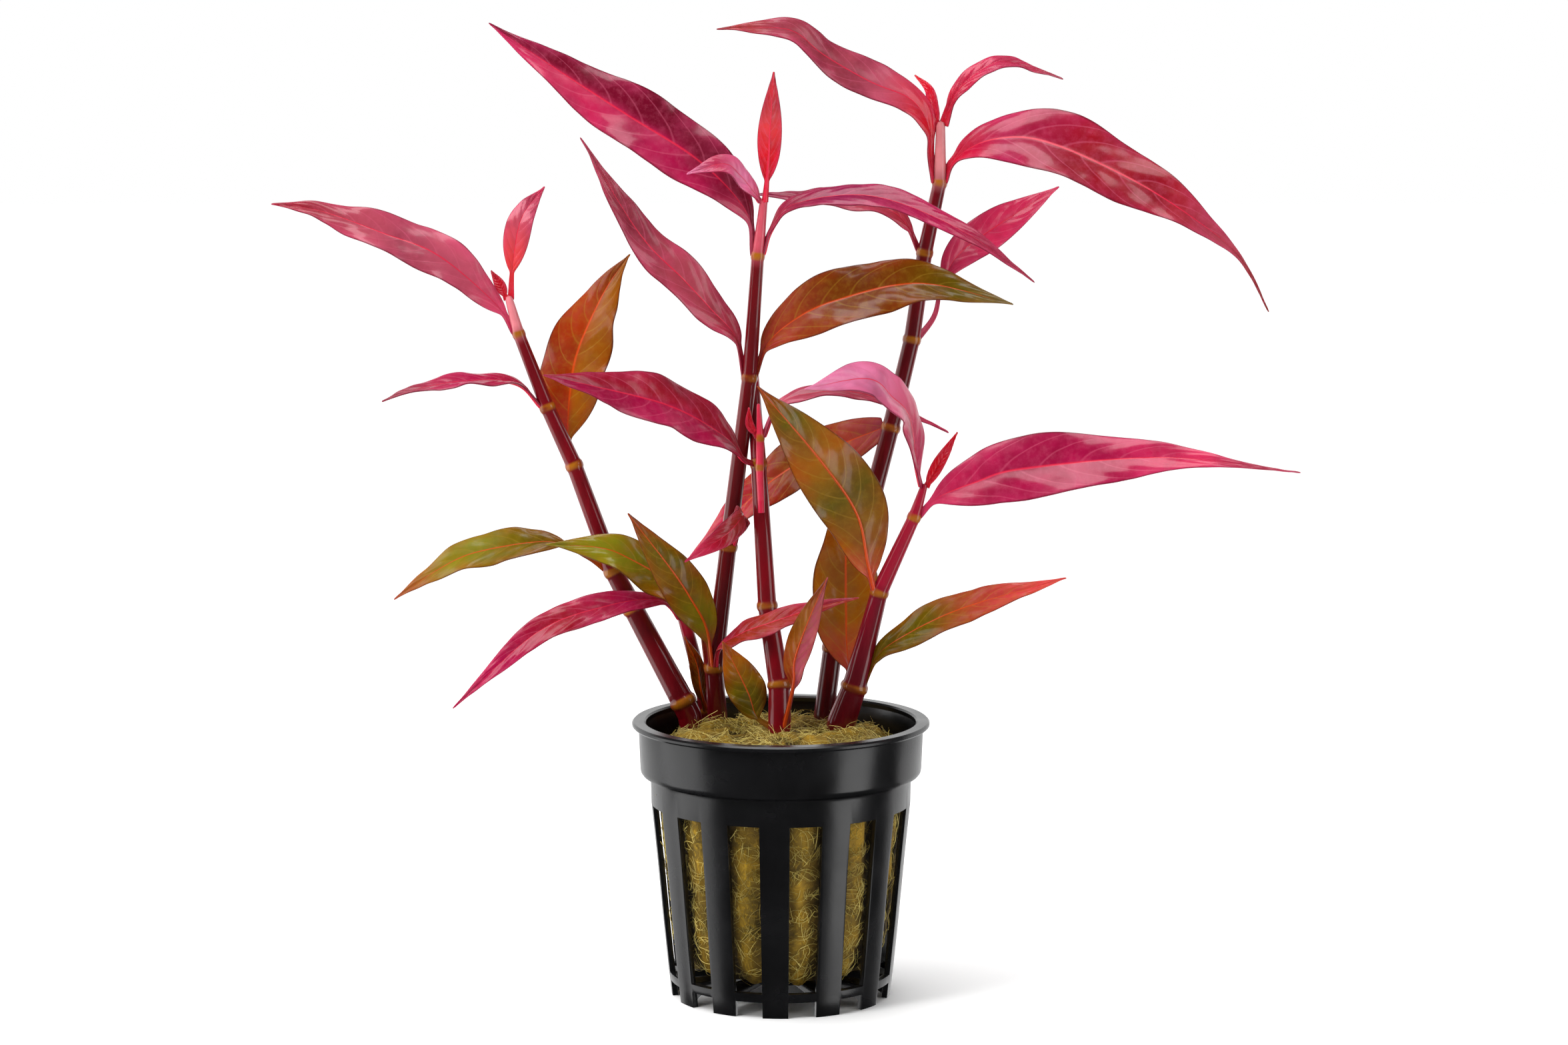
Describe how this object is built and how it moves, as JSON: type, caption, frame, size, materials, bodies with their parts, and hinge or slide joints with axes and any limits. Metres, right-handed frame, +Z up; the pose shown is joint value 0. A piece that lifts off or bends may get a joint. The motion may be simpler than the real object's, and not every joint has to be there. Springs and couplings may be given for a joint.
{
  "type": "potted persicaria sao paulo",
  "caption": "Aquarium stem plant with long pink, magenta and olive leaves on jointed crimson stems, rooted in rockwool in a small black net pot.",
  "frame": {"origin": "on the pot's axis at the level its feet rest on", "axes": "+Z up along the pot's axis, +X to the right of the picture's view, -Y towards the camera"},
  "size_m": [0.1783, 0.0529, 0.1703],
  "materials": {
    "pot_plastic": "satin black moulded plastic",
    "rockwool": "dry fibrous wool, olive yellow",
    "stem_crimson": "smooth glossy plant skin, dark crimson",
    "young_leaf": "soft satin leaf, pink to magenta",
    "old_leaf": "soft satin leaf, olive to brown"
  },
  "bodies": {
    "root": {"pot": "pot_plastic", "rockwool_plug": "rockwool", "stem_left": "stem_crimson", "stem_left_centre": "stem_crimson", "stem_centre": "stem_crimson", "stem_centre_shoot": "stem_crimson", "stem_right_back": "stem_crimson", "stem_right_front": "stem_crimson", "stem_short": "stem_crimson", "leaf_left_top_long": "young_leaf", "leaf_left_top_upright": "young_leaf", "leaf_left_top_spike": "young_leaf", "leaf_left_narrow": "young_leaf", "leaf_left_broad": "old_leaf", "leaf_left_olive": "old_leaf", "leaf_short_pink": "young_leaf", "leaf_short_low_brown": "old_leaf", "leaf_left_centre_olive": "old_leaf", "leaf_left_centre_front": "old_leaf", "leaf_left_centre_low_pink": "young_leaf", "leaf_left_centre_mid_pink": "young_leaf", "leaf_left_centre_magenta": "young_leaf", "leaf_left_centre_brown": "old_leaf", "leaf_left_centre_top_left": "young_leaf", "leaf_left_centre_top_right": "young_leaf", "leaf_left_centre_tip_fold": "young_leaf", "leaf_left_centre_tip_bud": "young_leaf", "leaf_centre_magenta": "young_leaf", "leaf_centre_shoot_right": "young_leaf", "leaf_centre_shoot_spike": "young_leaf", "leaf_centre_foot_scale": "young_leaf", "leaf_centre_low_twist": "old_leaf", "leaf_centre_low_olive": "old_leaf", "leaf_right_back_long": "old_leaf", "leaf_right_back_purple": "young_leaf", "leaf_right_back_pink": "young_leaf", "leaf_right_back_arch": "young_leaf", "leaf_right_back_top_left": "young_leaf", "leaf_right_back_tip_curl": "young_leaf", "leaf_right_back_tip_right": "young_leaf", "leaf_right_front_brown": "old_leaf", "leaf_right_front_pink_low": "old_leaf", "leaf_right_front_olive": "old_leaf", "leaf_right_front_magenta": "young_leaf", "leaf_right_front_pink_fold": "young_leaf", "leaf_right_front_tip_red": "young_leaf"}
  },
  "joints": []
}
